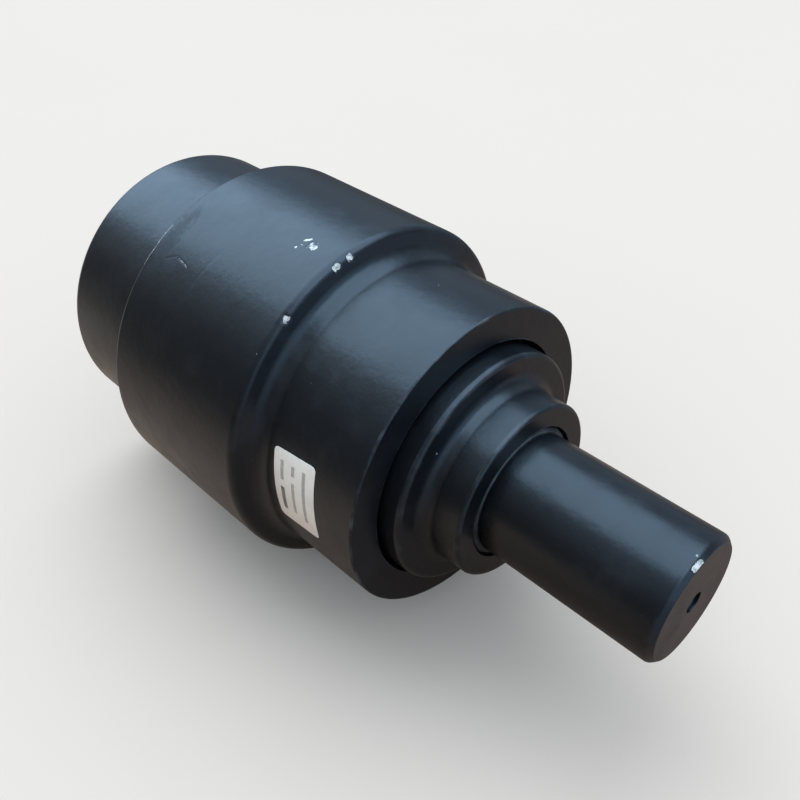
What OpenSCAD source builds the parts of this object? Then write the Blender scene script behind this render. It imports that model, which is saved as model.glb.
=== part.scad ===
// Carrier roller of a crawler track. A flanged roller shell turns on two bushes round a
// shaft that is held at one end only, and the track's upper run lies on the shell's treads.
// Millimetres, +Z up. The axis runs along Y. The origin is on the axis at the collar's outer
// face, where the bare end of the shaft begins, and +Y points out of the roller from there.

/* [Shaft] */
// Diameter of the shaft
shaft_d = 50; // [46:1:52]
// Length of the bare shaft end, from the collar's face to the tip
stub_l = 71.5; // [50:0.5:110]
// Width of the chamfer at the tip
tip_chamfer = 2.2; // [1:0.1:3]

/* [Collar] */
// Diameter of the collar's hub
hub_d = 73; // [68:1:76]
// Length of the hub, from its outer face to the collar's flange
hub_l = 17; // [16:0.5:22]
// Diameter of the collar's flange
collar_flange_d = 98; // [94:1:100]

/* [Roller shell] */
// Distance from the collar's outer face to the shell's near end
shell_gap = 25.3; // [24:0.1:27]
// Length of the shell
shell_l = 185; // [184:1:200]
// Diameter of the two treads
tread_d = 128; // [124:1:134]
// Diameter of the centre flange
flange_d = 150; // [148:1:170]
// Width of the centre flange across its top
flange_w = 78; // [60:1:90]
// Axial run of each shoulder, from the flange's top to its root
shoulder_run = 3; // [1:0.5:6]
// Diameter of the recess that the collar's flange turns in
recess_d = 101.4; // [101:0.2:103]

/* [Bearings] */
// Length of each bush
bush_l = 40; // [30:1:42]
// Outer diameter of each bush
bush_d = 57; // [55:1:60]
// Radial running clearance between bush and shaft
bush_clearance = 0.05; // [0.02:0.01:0.09]

/* [End cover] */
// Number of bolts that hold the end cover
cover_bolt_count = 4; // [3:1:6]
// Number of bolts that hold the thrust plate
plate_bolt_count = 3; // [2:1:4]
// Depth of the cover's face inside the shell's end
cover_sink = 8; // [7.5:0.5:9]

/* [Hidden] */
$fn = 96;

// Overshoot of a cutting tool past the face that it leaves
over = 1;
// Gap between faces that turn past each other
running_gap = 0.3;
// Segments in each rounded corner of a turned outline
corner_steps = 6;

shaft_r = shaft_d / 2;
tread_r = tread_d / 2;
flange_r = flange_d / 2;
recess_r = recess_d / 2;
bush_r = bush_d / 2;

// Rounding where the tip's chamfer meets the shaft
tip_round = 2.6;
// Rounding at the foot of both shoulders of the centre flange
root_fillet = min(7, 0.64 * (flange_r - tread_r));

// Dust ring and the groove that it sits in, at the collar's mouth
mouth_r = shaft_r + 2.7;
mouth_depth = 4.5;
groove_r = shaft_r - 0.4;
groove_l = 4;
lip_r = shaft_r + 1.7;
lip_setback = 0.6;

// Collar
collar_flange_back = -(hub_l + 16);
hub_fillet = 5;
nose_r = shaft_r + 3.6;
seal_floor = -(hub_l + 6);

// Floating seal: two metal rings face to face, each carried by a rubber ring in a tapered
// pocket. The second pocket mirrors the first about the plane where the two rings meet.
seal_plane = collar_flange_back - 1.5;
seal_face_gap = 0.2;
seal_ring_in_r = 30;
seal_ring_body_r = 36;
seal_ring_lip_r = 39.5;
seal_ring_lip_w = 2.4;
seal_ring_w = 9.8;
pocket_floor_r = 41.2;
pocket_mouth_r = 42.8;
toric_r = 39.05;
toric_section_r = 3.1;
toric_from_plane = 6.1;

// Collar-side bush and its thrust washer
washer_w = 4;
washer_in_r = shaft_r + 0.5;
washer_out_r = 35.5;
washer_pocket_r = 36;
shell_recess_floor = 2 * seal_plane - collar_flange_back;
shell_seal_floor = 2 * seal_plane - seal_floor;
near_washer_y = shell_seal_floor - 2;
near_bush_y = near_washer_y - washer_w;
nose_y = near_washer_y + running_gap;

// Cover end
shell_near = -shell_gap;
shell_far = shell_near - shell_l;
flange_mid = (shell_near + shell_far) / 2;
cover_w = 7;
cover_outer = shell_far + cover_sink;
cover_seat = cover_outer + cover_w;
cover_seat_r = 52.5;
spigot_r = 37.5;
spigot_in_r = 31;
spigot_l = 7.8;
plate_w = 7;
plate_r = 33;
far_bush_y = cover_seat + 21.3;
far_washer_y = far_bush_y - washer_w;
shaft_end = far_washer_y - running_gap;

// Oil space between the bushes, and the drillings that feed it
oil_space_r = 34;
gallery_r = 3.2;
gallery_end = flange_mid;
cross_hole_r = 2.6;
plug_r = 4.1;
plug_l = 10;
plug_setback = 1;
plug_socket_af = 4;
plug_socket_depth = 4;

// M8 hexagon bolts and spring washers
bolt_r = 4;
bolt_hole_r = 4.5;
bolt_af = 13;
bolt_head_h = 5.3;
spring_washer_r = 7.4;
spring_washer_h = 2;
spring_washer_slit = 1.2;
bolt_grip = 14;
bolt_hole_spare = 4;
plate_bolt_circle_r = 14;
cover_bolt_circle_r = 44.6;

// Spring pin that locks the collar to the shaft
pin_r = 3;
pin_bore_r = 1.6;
pin_y = -8.25;
pin_from_r = 14;
pin_setback = 0.6;

// O-rings
o_groove_w = 4;
o_section_r = 1.35;
collar_groove_y = -14;
cover_groove_y = cover_seat + 3.4;
cover_groove_depth = 2.5;

// Paper label on the near tread
label_w = 21;
label_arc = 30;
label_mid_angle = -4;
label_y = -55.5;
label_t = 0.2;

black = [0.09, 0.10, 0.11];
steel = [0.62, 0.63, 0.65];
zinc = [0.72, 0.73, 0.74];
bronze = [0.72, 0.52, 0.27];
rubber = [0.05, 0.05, 0.05];
paper = [0.92, 0.92, 0.90];

// ---- Turned outlines ---------------------------------------------------------------

function unit(v) = v / norm(v);

function turn(d) = d > 180 ? d - 360 : (d < -180 ? d + 360 : d);

// Arc of radius r that rounds the corner p between its neighbours a and b
function corner_arc(a, p, b, r) =
    let (
        u = unit(a - p),
        w = unit(b - p),
        half = acos(u * w) / 2,
        centre = p + unit(u + w) * r / sin(half),
        first = p + u * r / tan(half) - centre,
        last = p + w * r / tan(half) - centre,
        start = atan2(first[1], first[0]),
        sweep = turn(atan2(last[1], last[0]) - start)
    )
    [for (i = [0:corner_steps]) centre + r * [
        cos(start + sweep * i / corner_steps),
        sin(start + sweep * i / corner_steps)
    ]];

// Closed outline from corners [radius from the axis, y, corner radius]
function outline(corners) = [
    for (i = [0:len(corners) - 1])
        let (
            n = len(corners),
            p = corners[i],
            a = corners[(i + n - 1) % n],
            b = corners[(i + 1) % n],
            here = [p[0], p[1]]
        )
        each (p[2] == 0 ? [here] : corner_arc([a[0], a[1]], here, [b[0], b[1]], p[2]))
];

// Turns a half section about the Y axis
module lathe() {
    rotate([-90, 0, 0]) rotate_extrude() children();
}

module turned(corners) {
    lathe() polygon(outline(corners));
}

module ring(r_in, r_out, y_low, y_high) {
    lathe() translate([r_in, y_low]) square([r_out - r_in, y_high - y_low]);
}

// Solid rod along Y, or an n-sided bar when sides is given
module rod(r, y_low, y_high, sides = 96) {
    translate([0, y_high, 0]) rotate([90, 0, 0]) cylinder(h = y_high - y_low, r = r, $fn = sides);
}

// Places copies on a circle about the axis
module around(count, circle_r, first_angle = 0) {
    for (i = [0:count - 1])
        rotate([0, first_angle + i * 360 / count, 0]) translate([circle_r, 0, 0]) children();
}

// ---- Fasteners ---------------------------------------------------------------------

// Hexagon bolt whose head bears on seat_y and whose shank runs towards +Y
module hex_bolt(seat_y, shank_l) {
    head_y = seat_y - bolt_head_h;
    corner_r = bolt_af / 2 / cos(30);
    union() {
        intersection() {
            rod(corner_r, head_y, seat_y, 6);
            turned([
                [0, seat_y, 0],
                [corner_r + over, seat_y, 0],
                [corner_r + over, head_y + bolt_head_h / 2, 0],
                [bolt_af / 2 - 0.4, head_y, 0],
                [0, head_y, 0]
            ]);
        }
        rod(bolt_r, seat_y - 0.5, seat_y + shank_l);
    }
}

// Split spring washer under a bolt head
module spring_washer(y_low) {
    difference() {
        ring(bolt_hole_r - 0.3, spring_washer_r, y_low, y_low + spring_washer_h);
        translate([bolt_r - 1, y_low - over, -spring_washer_slit / 2])
            cube([spring_washer_r, spring_washer_h + 2 * over, spring_washer_slit]);
    }
}

// ---- Fixed pieces ------------------------------------------------------------------

module shaft() {
    color(black) difference() {
        turned([
            [0, stub_l, 0],
            [shaft_r - tip_chamfer, stub_l, 0.5],
            [shaft_r, stub_l - tip_chamfer, tip_round],
            [shaft_r, 0, 0],
            [groove_r, 0, 0],
            [groove_r, -groove_l, 0],
            [shaft_r, -groove_l, 0],
            [shaft_r, shaft_end + 1, 0],
            [shaft_r - 1, shaft_end, 0],
            [0, shaft_end, 0]
        ]);
        rod(plug_r, stub_l - plug_setback - plug_l, stub_l + over);
        rod(gallery_r, gallery_end, stub_l);
        translate([-shaft_r - over, gallery_end + 6, 0])
            rotate([0, 90, 0]) cylinder(h = shaft_d + 2 * over, r = cross_hole_r);
        around(plate_bolt_count, plate_bolt_circle_r)
            rod(bolt_r, shaft_end - over, shaft_end + bolt_grip + bolt_hole_spare);
        translate([0, pin_y, 0]) rotate([180, 0, 0])
            translate([0, 0, pin_from_r]) cylinder(h = shaft_r, r = pin_r);
    }
}

module oil_plug() {
    color(black) difference() {
        rod(plug_r, stub_l - plug_setback - plug_l, stub_l - plug_setback);
        rod(plug_socket_af / 2 / cos(30), stub_l - plug_setback - plug_socket_depth, stub_l, 6);
    }
}

module collar() {
    color(black) difference() {
        turned([
            [mouth_r, 0, 0.4],
            [hub_d / 2, 0, 1.6],
            [hub_d / 2, -hub_l, hub_fillet],
            [collar_flange_d / 2, -hub_l, 2],
            [collar_flange_d / 2, collar_flange_back, 1],
            [pocket_mouth_r, collar_flange_back, 0.5],
            [pocket_floor_r, seal_floor, 1.5],
            [nose_r, seal_floor, 1],
            [nose_r, nose_y, 0.6],
            [shaft_r, nose_y, 0],
            [shaft_r, collar_groove_y - o_groove_w / 2, 0],
            [shaft_r + 2 * o_section_r, collar_groove_y - o_groove_w / 2, 0],
            [shaft_r + 2 * o_section_r, collar_groove_y + o_groove_w / 2, 0],
            [shaft_r, collar_groove_y + o_groove_w / 2, 0],
            [shaft_r, -mouth_depth, 0],
            [mouth_r, -mouth_depth, 0]
        ]);
        translate([0, pin_y, 0]) rotate([180, 0, 0])
            translate([0, 0, pin_from_r]) cylinder(h = hub_d, r = pin_r);
    }
}

module collar_pin() {
    pin_l = hub_d / 2 - pin_setback - pin_from_r;
    color(zinc) translate([0, pin_y, 0]) rotate([180, 0, 0]) translate([0, 0, pin_from_r])
        difference() {
            cylinder(h = pin_l, r = pin_r);
            translate([0, 0, -over]) cylinder(h = pin_l + 2 * over, r = pin_bore_r);
        }
}

module collar_o_ring() {
    color(rubber) lathe() translate([shaft_r + o_section_r, collar_groove_y]) circle(o_section_r);
}

module dust_ring() {
    color(rubber) turned([
        [groove_r, -lip_setback, 0],
        [lip_r, -lip_setback, 0.6],
        [lip_r, -mouth_depth + 1.6, 0],
        [mouth_r, -mouth_depth + 1.6, 0],
        [mouth_r, -mouth_depth, 0],
        [shaft_r, -mouth_depth, 0],
        [shaft_r, -groove_l, 0],
        [groove_r, -groove_l, 0]
    ]);
}

// One metal seal ring, with its sealing face at y = 0 and its body towards +Y
module seal_ring() {
    turned([
        [seal_ring_in_r, 0, 0.4],
        [seal_ring_lip_r, 0, 0.4],
        [seal_ring_lip_r, seal_ring_lip_w, 0.4],
        [seal_ring_body_r, seal_ring_lip_w, 0.6],
        [seal_ring_body_r, seal_ring_w, 1],
        [seal_ring_in_r, seal_ring_w, 0.4]
    ]);
}

module toric_ring() {
    lathe() translate([toric_r, toric_from_plane]) circle(toric_section_r);
}

module fixed_seal_ring() {
    color(steel) translate([0, seal_plane + seal_face_gap / 2, 0]) seal_ring();
}

module fixed_toric_ring() {
    color(rubber) translate([0, seal_plane, 0]) toric_ring();
}

module thrust_plate() {
    color(steel) difference() {
        turned([
            [0, shaft_end, 0],
            [plate_r, shaft_end, 0.8],
            [plate_r, shaft_end - plate_w, 0.8],
            [0, shaft_end - plate_w, 0]
        ]);
        around(plate_bolt_count, plate_bolt_circle_r)
            rod(bolt_hole_r, shaft_end - plate_w - over, shaft_end + over);
    }
}

module thrust_plate_bolts() {
    color(zinc) around(plate_bolt_count, plate_bolt_circle_r)
        hex_bolt(shaft_end - plate_w - spring_washer_h, plate_w + spring_washer_h + bolt_grip);
}

module thrust_plate_washers() {
    color(zinc) around(plate_bolt_count, plate_bolt_circle_r)
        spring_washer(shaft_end - plate_w - spring_washer_h);
}

// ---- Turning pieces ----------------------------------------------------------------

module roller_shell() {
    top = flange_w / 2;
    root = top + shoulder_run;
    color(black) difference() {
        turned([
            [recess_r, shell_near, 0.6],
            [tread_r, shell_near, 0.8],
            [tread_r, flange_mid + root, root_fillet],
            [flange_r, flange_mid + top, 3],
            [flange_r, flange_mid - top, 1.5],
            [tread_r, flange_mid - root, root_fillet],
            [tread_r, shell_far, 3],
            [cover_seat_r, shell_far, 1],
            [cover_seat_r, cover_seat, 0],
            [spigot_r, cover_seat, 0],
            [spigot_r, far_bush_y, 1],
            [bush_r, far_bush_y, 0],
            [bush_r, far_bush_y + bush_l, 0],
            [oil_space_r, far_bush_y + bush_l, 2],
            [oil_space_r, near_bush_y - bush_l, 2],
            [bush_r, near_bush_y - bush_l, 0],
            [bush_r, near_bush_y, 0],
            [washer_pocket_r, near_bush_y, 0],
            [washer_pocket_r, shell_seal_floor, 0.8],
            [pocket_floor_r, shell_seal_floor, 1.5],
            [pocket_mouth_r, shell_recess_floor, 0.5],
            [recess_r, shell_recess_floor, 1]
        ]);
        around(cover_bolt_count, cover_bolt_circle_r, 45)
            rod(bolt_r, cover_seat - over, cover_seat + bolt_grip + bolt_hole_spare);
    }
}

module bush(y_high) {
    color(bronze) ring(shaft_r + bush_clearance, bush_r, y_high - bush_l, y_high);
}

module collar_side_bush() {
    bush(near_bush_y);
}

module cover_side_bush() {
    bush(far_bush_y + bush_l);
}

module collar_side_thrust_washer() {
    color(bronze) ring(washer_in_r, washer_out_r, near_bush_y, near_washer_y);
}

module cover_side_thrust_washer() {
    color(bronze) ring(washer_in_r, washer_out_r, far_washer_y, far_bush_y);
}

module turning_seal_ring() {
    color(steel) translate([0, seal_plane - seal_face_gap / 2, 0]) mirror([0, 1, 0]) seal_ring();
}

module turning_toric_ring() {
    color(rubber) translate([0, seal_plane, 0]) mirror([0, 1, 0]) toric_ring();
}

module end_cover() {
    groove_low = cover_groove_y - o_groove_w / 2;
    groove_high = cover_groove_y + o_groove_w / 2;
    color(black) difference() {
        turned([
            [0, cover_outer + 1, 0],
            [25, cover_outer + 1, 0.8],
            [26, cover_outer, 0.8],
            [cover_seat_r - 0.3, cover_outer, 1],
            [cover_seat_r - 0.3, cover_seat, 0],
            [spigot_r, cover_seat, 0],
            [spigot_r, groove_low, 0],
            [spigot_r - cover_groove_depth, groove_low, 0],
            [spigot_r - cover_groove_depth, groove_high, 0],
            [spigot_r, groove_high, 0],
            [spigot_r, cover_seat + spigot_l, 1],
            [spigot_in_r, cover_seat + spigot_l, 0.5],
            [spigot_in_r, cover_seat, 2],
            [0, cover_seat, 0]
        ]);
        around(cover_bolt_count, cover_bolt_circle_r, 45)
            rod(bolt_hole_r, cover_outer - over, cover_seat + over);
    }
}

module cover_o_ring() {
    color(rubber) lathe()
        translate([spigot_r - cover_groove_depth / 2, cover_groove_y]) circle(o_section_r);
}

module cover_bolts() {
    color(black) around(cover_bolt_count, cover_bolt_circle_r, 45)
        hex_bolt(cover_outer - spring_washer_h, cover_w + spring_washer_h + bolt_grip);
}

module cover_washers() {
    color(black) around(cover_bolt_count, cover_bolt_circle_r, 45)
        spring_washer(cover_outer - spring_washer_h);
}

module label() {
    color(paper) rotate([-90, 0, 0]) rotate([0, 0, label_mid_angle - label_arc / 2])
        rotate_extrude(angle = label_arc, $fn = 360)
            translate([tread_r, label_y - label_w / 2]) square([label_t, label_w]);
}

shaft();
oil_plug();
collar();
collar_pin();
collar_o_ring();
dust_ring();
fixed_seal_ring();
fixed_toric_ring();
thrust_plate();
thrust_plate_bolts();
thrust_plate_washers();
roller_shell();
collar_side_bush();
cover_side_bush();
collar_side_thrust_washer();
cover_side_thrust_washer();
turning_seal_ring();
turning_toric_ring();
end_cover();
cover_o_ring();
cover_bolts();
cover_washers();
label();
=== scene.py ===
import math

import bmesh
import bpy
from mathutils import Matrix, Quaternion, Vector, noise


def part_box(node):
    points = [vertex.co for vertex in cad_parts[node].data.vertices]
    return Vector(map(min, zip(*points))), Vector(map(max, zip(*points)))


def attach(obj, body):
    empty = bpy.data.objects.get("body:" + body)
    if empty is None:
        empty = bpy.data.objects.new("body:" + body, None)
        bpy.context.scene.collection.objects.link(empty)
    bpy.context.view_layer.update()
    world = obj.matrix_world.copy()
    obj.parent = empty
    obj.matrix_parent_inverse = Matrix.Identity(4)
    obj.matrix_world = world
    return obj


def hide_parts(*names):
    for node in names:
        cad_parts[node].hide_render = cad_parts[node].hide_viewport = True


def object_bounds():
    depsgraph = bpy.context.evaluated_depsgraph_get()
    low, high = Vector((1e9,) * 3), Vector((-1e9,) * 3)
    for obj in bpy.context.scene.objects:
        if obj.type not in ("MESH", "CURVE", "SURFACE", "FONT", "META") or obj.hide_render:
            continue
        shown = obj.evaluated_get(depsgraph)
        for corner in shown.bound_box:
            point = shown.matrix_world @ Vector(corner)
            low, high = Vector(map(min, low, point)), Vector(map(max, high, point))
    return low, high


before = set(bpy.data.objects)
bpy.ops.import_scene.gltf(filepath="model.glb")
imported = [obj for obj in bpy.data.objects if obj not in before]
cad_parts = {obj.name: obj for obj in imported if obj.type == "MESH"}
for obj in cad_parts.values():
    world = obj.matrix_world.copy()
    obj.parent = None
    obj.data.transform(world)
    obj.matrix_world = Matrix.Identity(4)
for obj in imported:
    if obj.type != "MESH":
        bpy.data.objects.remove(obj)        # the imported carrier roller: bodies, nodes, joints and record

# The looks of a flanged carrier roller in satin black paint. Lengths in this script are
# millimetres unless a name ends in _m, angles are degrees round the roller's axis (Y),
# from +X towards +Z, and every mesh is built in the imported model's own frame.

MM = 0.001
cad_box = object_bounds()


def extent(node):
    """Lowest y, highest y and outer radius of a turned CAD node, in millimetres."""
    low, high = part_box(node)
    return low.y / MM, high.y / MM, high.x / MM


shaft_end, shaft_tip, shaft_r = extent("shaft")
collar_nose, _, collar_flange_r = extent("collar")
shell_far, shell_near, flange_r = extent("roller_shell")
cover_low, cover_high, cover_r = extent("end_cover")
plug_low, plug_high, plug_r = extent("oil_plug")
lip_low, lip_high, mouth_r = extent("dust_ring")
bush_low, bush_high, bush_r = extent("collar_side_bush")
far_bush_low, far_bush_high, _ = extent("cover_side_bush")
flange_mid = (shell_near + shell_far) / 2

# Turned steps of the shell
tread_r = flange_r - 11
flange_half = 39         # half the flange's width at its rim
shoulder_run = 3         # how far each shoulder spreads on its way down to the tread
root_fillet = 7
recess_r = collar_flange_r + 1.7
recess_floor = shell_near - 10.7
cover_recess_r = cover_r + 0.3
cover_seat = cover_low + 7
spigot_r = 37.5
oil_space_r = 34

# Pockets of the floating seal, the same in the collar and in the shell
pocket_inner_r = 36
pocket_floor_r = 41.2
pocket_mouth_r = 42.8
pocket_depth = 10

# Collar
hub_r = 36.5
hub_l = 17
collar_flange_l = 16
nose_r = 28.6
bore_r = shaft_r
o_ring_y = -14
o_ring_groove_half = 2
o_ring_groove_depth = 2.7

# Cover
cover_hollow_r = 31
cover_dish_r = 25
cover_groove_y = cover_seat + 3.4
cover_groove_depth = 2.5

# Shallow seat of the dust ring on the shaft
ring_seat_r = shaft_r - 0.4
ring_seat_end = -4

# Holes
gallery_r = 3.2
gallery_end = flange_mid
cross_hole_r = 2.6
pin_y = -8.25
pin_r = 3
pin_from_r = 14

# Fasteners
bolt_circle_r = 44.6
bolt_angles = [45, 135, 225, 315]
bolt_r = 4
bolt_clearance_r = 4.5
bolt_hole_depth = 18
bolt_shank = 20
bolt_af = 13             # across the flats
bolt_head_h = 5.3
thrust_bolt_circle_r = 14
thrust_bolt_angles = [0, 120, 240]
washer_h = 2
washer_r = 7.4
plug_socket_af = 4
plug_socket_depth = 4


# ---- Turned outlines --------------------------------------------------------------

SUPPORT = 0.25           # short rows beside each corner, which keep flat faces flat
ARC_STEPS = 7            # fewest rows round each corner
ARC_ROW = 0.45           # longest row round a corner
LONG_ROW = 2.2           # longest row on a face that shows
HIDDEN_ROW = 9           # longest row on a face inside
FINE_ROW = 0.35          # longest row at a mark
COLUMN_STEP = 2.5        # degrees between columns
FINE_COLUMN_STEP = 0.38  # the same at a mark
ON_AXIS = 1e-6           # radii below this are on the axis


def stations(low, high, step, fine_step, spans=()):
    """Places from low to high, step apart, and fine_step apart inside the spans."""
    stops = {low, high}
    stops.update(edge for span in spans for edge in span if low < edge < high)
    stops = sorted(stops)
    places = [low]
    for here, there in zip(stops, stops[1:]):
        middle = (here + there) / 2
        inside = any(span[0] < middle < span[1] for span in spans)
        count = max(1, math.ceil((there - here) / (fine_step if inside else step)))
        places += [here + (there - here) * (i + 1) / count for i in range(count)]
    return places


def corner_arc(before, corner, after, radius):
    """Points of the arc that rounds a corner of an outline."""
    to_before = (before - corner).normalized()
    to_after = (after - corner).normalized()
    half = to_before.angle(to_after) / 2
    centre = corner + (to_before + to_after).normalized() * radius / math.sin(half)
    first = corner + to_before * radius / math.tan(half) - centre
    last = corner + to_after * radius / math.tan(half) - centre
    sweep = first.angle_signed(last)
    start = math.atan2(first.y, first.x)
    steps = max(ARC_STEPS, math.ceil(radius * abs(sweep) / ARC_ROW))
    return [
        centre + radius * Vector((math.cos(a), math.sin(a)))
        for a in (start - sweep * i / steps for i in range(steps + 1))
    ]


def rounded(corners):
    """Closed outline, as (point, bend) pairs, from corners (radius, y, corner radius).

    The corners run from the axis outwards on the +Y side and back on the -Y side. The bend is
    0 on flat stretches, up to 1 on a crisp edge and down to -1 in a tight nook.
    """
    outline = []
    for i, (r, y, radius) in enumerate(corners):
        corner = Vector((r, y))
        before = Vector(corners[i - 1][:2])
        after = Vector(corners[(i + 1) % len(corners)][:2])
        if radius == 0:
            outline.append((corner, 0))
        else:
            edge = (corner - before).cross(after - corner) < 0
            bend = min(1, 1 / radius) if edge else -min(1, 4 / radius)
            outline += [(p, bend) for p in corner_arc(before, corner, after, radius)]
    return outline


def outline_rows(corners, shows_from_r, marks):
    """The outline with rows added along its straight stretches."""
    points = rounded(corners)
    rows = []
    for i, (here, bend) in enumerate(points):
        there = points[(i + 1) % len(points)][0]
        rows.append((here, bend))
        run = there - here
        if run.length < 4 * SUPPORT or max(here.x, there.x) < ON_AXIS:
            continue
        shows = min(here.x, there.x) > shows_from_r
        step = LONG_ROW if shows else HIDDEN_ROW
        spans = [span for span in (mark.span_on(here, there) for mark in marks) if span]
        for place in stations(SUPPORT, run.length - SUPPORT, step, FINE_ROW, spans):
            rows.append((here + run * place / run.length, 0))
    return rows


# ---- Marks on the paint -----------------------------------------------------------

class Mark:
    """A place where the surface is knocked: how deep, and how far the paint is gone.

    Length runs along the outline and width round the axis. A slant turns the mark on the
    surface, and a corner sharpness above 2 makes it squarer than an ellipse.
    """

    grime = 0.0

    def __init__(
        self, r, y, angle, length, width, depth,
        paint_gone_or_glint=1.0, ragged=0.5, slant=0.0, square=2.0,
    ):
        self.r = r
        self.y = y
        self.angle = angle
        self.length = length
        self.width = width
        self.depth = depth
        self.paint_gone_or_glint = paint_gone_or_glint
        self.ragged = ragged
        self.slant = math.radians(slant)
        self.square = square
        self.reach = 0.75 * max(length, width) + 0.5

    def span_on(self, here, there):
        """The stretch of an outline's straight run that needs fine rows."""
        run = (there - here).normalized()
        offset = Vector((self.r, self.y)) - here
        if abs(offset.cross(run)) > self.reach:
            return None
        place = offset.dot(run)
        return place - self.reach, place + self.reach

    def angle_span(self):
        """The angles that need fine columns."""
        reach = math.degrees(self.reach / self.r)
        return self.angle - reach, self.angle + reach

    def strength(self, r, y, angle):
        """1 in the middle of the mark, falling to 0 past its ragged rim."""
        off_r, off_y = r - self.r, y - self.y
        along = math.copysign(math.hypot(off_r, off_y), off_y - off_r)
        across = math.radians(angle - self.angle) * self.r
        if max(abs(along), abs(across)) > self.reach:
            return 0.0
        turned = Vector((along, across))
        turned.rotate(Matrix.Rotation(-self.slant, 2))
        from_middle = abs(2 * turned.x / self.length) ** self.square
        from_middle += abs(2 * turned.y / self.width) ** self.square
        from_middle = from_middle ** (1 / self.square)
        rim = noise.noise(Vector((along * 0.9, across * 0.9, self.y)))
        rim += 0.5 * noise.noise(Vector((along * 2.3, across * 2.3, self.y)))
        return min(1.0, max(0.0, (1.3 - from_middle - self.ragged * rim) / 0.5))


class Smudge(Mark):
    """A soft dull patch in the paint, with no depth."""

    def __init__(self, r, y, angle, length, width, grime):
        super().__init__(r, y, angle, length, width, 0.0, 0.0, 0.9)
        self.grime = grime

    def span_on(self, here, there):
        return None

    def angle_span(self):
        return self.angle, self.angle

    def strength(self, r, y, angle):
        return super().strength(r, y, angle) ** 0.5


class Line:
    """A thin scratch, crease or bright painted highlight line at one radius, between two places (y,
    angle).
    """

    grime = 0.0
    margin = 0.8             # how far the fine rows and columns run past its ends
    same_r = 0.5             # how close to its radius a surface has to be

    def __init__(self, r, start, end, width, depth, paint_gone_or_glint=0.0):
        self.r = r
        self.start = start
        self.end = end
        self.width = width
        self.depth = depth
        self.paint_gone_or_glint = paint_gone_or_glint

    def span_on(self, here, there):
        if abs(there.x - here.x) > self.same_r or abs(here.x - self.r) > self.same_r:
            return None
        places = sorted(abs(y - here.y) for y, _ in (self.start, self.end))
        return places[0] - self.margin, places[1] + self.margin

    def angle_span(self):
        low, high = sorted((self.start[1], self.end[1]))
        return low - self.margin, high + self.margin

    def strength(self, r, y, angle):
        if abs(r - self.r) > self.same_r:
            return 0.0
        arc = math.radians(1) * r
        start = Vector((self.start[0], self.start[1] * arc))
        run = Vector((self.end[0], self.end[1] * arc)) - start
        here = Vector((y, angle * arc)) - start
        share = min(1.0, max(0.0, here.dot(run) / run.length_squared))
        wander = 0.3 * noise.noise(Vector((share * 4, self.start[0], 0)))
        side = here - run * share
        distance = abs(math.copysign(side.length, here.cross(run)) - wander)
        fade = min(1.0, 6 * share, 6 * (1 - share))
        return max(0.0, 1 - distance / self.width) * fade


# Chips, specks, a scratch, a crease and smudges where the real roller has them, and a bright bare-metal
# line along the flange's far edge that is a painted highlight
shell_marks = [
    Mark(flange_r, -93.2, 77.1, 4.6, 3.6, 0.22, 0.62, ragged=0.8),
    Mark(flange_r, -97.7, 78.4, 3.6, 1.2, 0.16, ragged=0.3, slant=46),
    Mark(flange_r, -98.6, 74.3, 0.9, 1.1, 0.12, 0.9),
    Mark(flange_r, -97.3, 76.0, 1.2, 0.6, 0.10, 0.8, slant=20),
    Mark(73.4, -78.4, 75.7, 2.5, 3.5, 0.30),
    Mark(73.5, -78.4, 80.9, 2.8, 2.7, 0.30, slant=-20),
    Mark(73.6, -78.6, 54.8, 2.4, 3.1, 0.28),
    Mark(flange_r, -80.6, 42.7, 0.7, 0.9, 0.06, 0.62),
    Mark(tread_r, -52.8, 97.0, 0.7, 0.9, 0.06, 0.62),
    Line(flange_r, (-141.9, 53.4), (-133.4, 52.2), 0.42, 0.12, 0.9),
    Line(flange_r, (-147.6, 51.0), (-142.0, 53.6), 0.5, 0.08, 0.45),
    Line(flange_r, (-124.6, 62.6), (-127.2, 45.6), 1.1, 0.05),
    # Painted highlight: a bright bare-metal line along the flange's far edge, where the edge catches the
    # light over its worn paint
    Line(flange_r - 0.4, (-156.3, 64.0), (-156.1, 44.0), 0.45, 0.02, 0.9),
    Smudge(flange_r, -151.0, 57.0, 6.0, 30.0, 0.8),
    Smudge(flange_r, -144.0, 50.0, 6.0, 7.0, 0.6),
    Smudge(tread_r, -65.5, 47.9, 3.6, 4.5, 0.7),
    Smudge(tread_r, -54.5, 49.2, 3.6, 3.5, 0.7),
]
shaft_marks = [
    Mark(shaft_r - 1.6, shaft_tip - 0.6, 76.3, 2.3, 4.9, 0.25, ragged=0.16, slant=-4, square=4),
    Mark(shaft_r, shaft_tip - 2.4, 81.5, 0.9, 1.2, 0.08, 0.8),
]
collar_marks = [
    Mark(41.0, -17.0, 43.5, 0.9, 1.0, 0.06, 0.6),
]


# ---- Turned meshes ----------------------------------------------------------------

WAVE_DEPTH = 0.10        # how far the forged skin wanders below its true radius
WAVE_LENGTH = 34
RIPPLE_LENGTH = 9
RIPPLE_SHARE = 0.12


def forged_wave(place):
    """Depth of the slightly uneven forged skin at a place on it."""
    swell = noise.noise(place / WAVE_LENGTH)
    ripple = noise.noise(place / RIPPLE_LENGTH + Vector((7, 3, 5)))
    return WAVE_DEPTH * (1 + swell + RIPPLE_SHARE * ripple) / (2 + RIPPLE_SHARE)


def columns_for(marks):
    """Angles of the columns all round, closer together at the marks."""
    spans = [mark.angle_span() for mark in marks]
    return stations(0, 360, COLUMN_STEP, FINE_COLUMN_STEP, spans)[:-1]


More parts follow.
